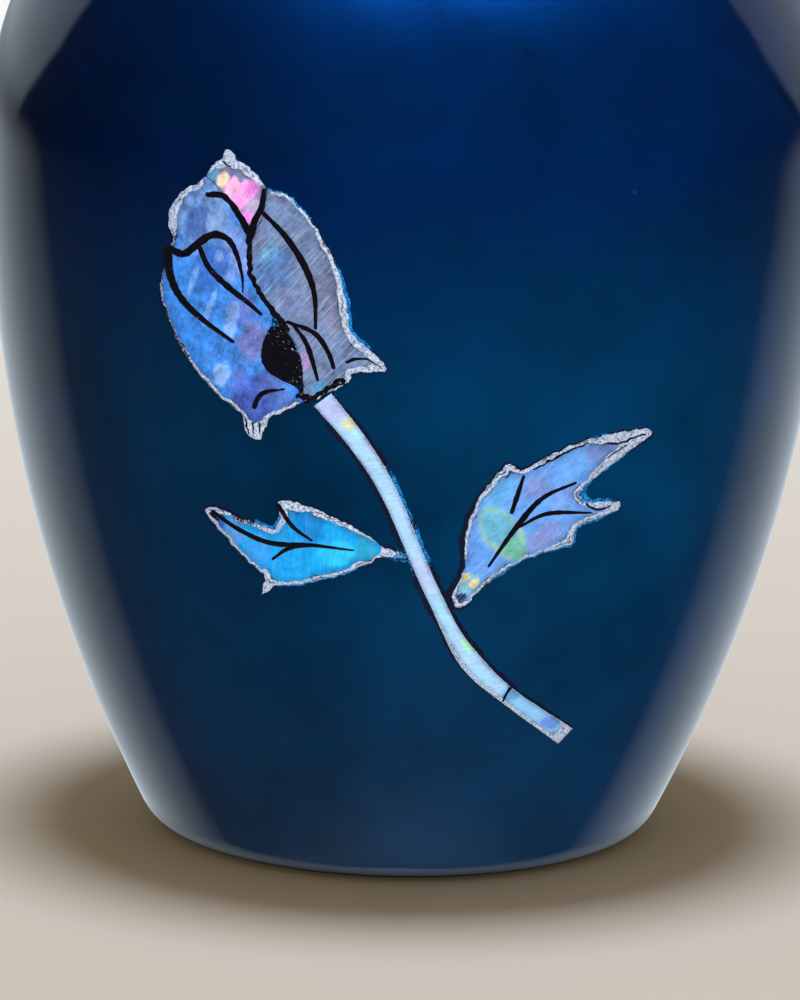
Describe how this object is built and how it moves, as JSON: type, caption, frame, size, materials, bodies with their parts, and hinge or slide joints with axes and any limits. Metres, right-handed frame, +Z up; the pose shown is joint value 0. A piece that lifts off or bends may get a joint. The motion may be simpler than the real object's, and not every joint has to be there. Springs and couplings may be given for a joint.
{
  "type": "cremation urn",
  "caption": "Round-shouldered hollow metal urn in deep blue lacquer, with a lift-off domed lid and a rosebud of iridescent shell inlaid on its front.",
  "frame": {"origin": "centre of the flat underside, on the urn's axis", "axes": "+Z up along the urn's axis, -Y towards the viewer on the side with the rose, +X to the viewer's right"},
  "size_m": [0.168, 0.168, 0.2581],
  "materials": {
    "blue_lacquer": "gloss",
    "shell_lavender": "polished",
    "shell_silver": "polished",
    "shell_pink": "polished",
    "shell_pale_blue": "polished",
    "shell_azure": "polished",
    "shell_periwinkle": "polished",
    "black_resin": "gloss"
  },
  "bodies": {
    "root": {"urn_body": "blue_lacquer", "lid": "blue_lacquer", "petal_left": "shell_lavender", "petal_right": "shell_silver", "petal_centre": "shell_pink", "bud_inset": "black_resin", "stem": "shell_pale_blue", "stem_end": "shell_pale_blue", "leaf_left": "shell_azure", "leaf_right": "shell_periwinkle"}
  },
  "joints": []
}
